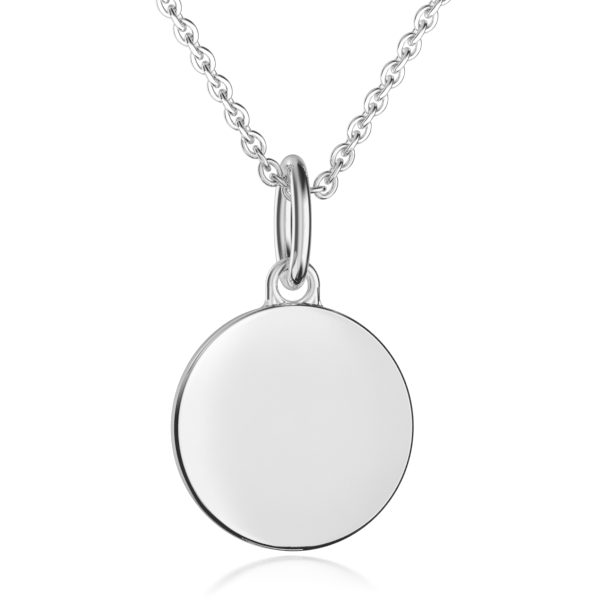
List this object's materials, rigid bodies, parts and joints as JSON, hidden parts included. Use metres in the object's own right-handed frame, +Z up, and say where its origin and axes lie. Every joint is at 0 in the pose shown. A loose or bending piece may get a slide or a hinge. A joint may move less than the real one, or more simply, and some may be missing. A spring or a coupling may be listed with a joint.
{
  "type": "disc pendant necklace",
  "caption": "Flat round pendant of polished silver on a wire eyelet and an oval wire bail, hung from a fine cable chain that closes with a clasp at the nape.",
  "frame": {"origin": "the nape: the innermost point of the clasp, where the closed chain lies on the back of the neck", "axes": "+Z up as the necklace is worn; -Y forwards, the way the disc faces; +X to the right of a viewer who looks at the disc's face"},
  "size_m": [0.1198, 0.1093, 0.1228],
  "materials": {
    "disc_silver": "mirror-polished sterling silver, very slightly soft on the flat face",
    "bail_silver": "mirror-polished sterling silver wire",
    "chain_silver": "bright sterling silver wire links",
    "clasp_silver": "bright sterling silver"
  },
  "bodies": {
    "necklace": {"chain_front": "chain_silver", "chain_back": "chain_silver", "clasp": "clasp_silver"},
    "bail": {"bail": "bail_silver"},
    "disc": {"disc": "disc_silver"}
  },
  "joints": [
    {"name": "bail_swing", "type": "hinge", "parent": "necklace", "child": "bail", "pos_m": [0, -0.105, -0.09484], "axis": [1, 0, 0], "range_deg": [-90, 90]},
    {"name": "disc_sway", "type": "hinge", "parent": "bail", "child": "disc", "pos_m": [0, -0.105, -0.10057], "axis": [0, 1, 0], "range_deg": [-90, 90]}
  ]
}
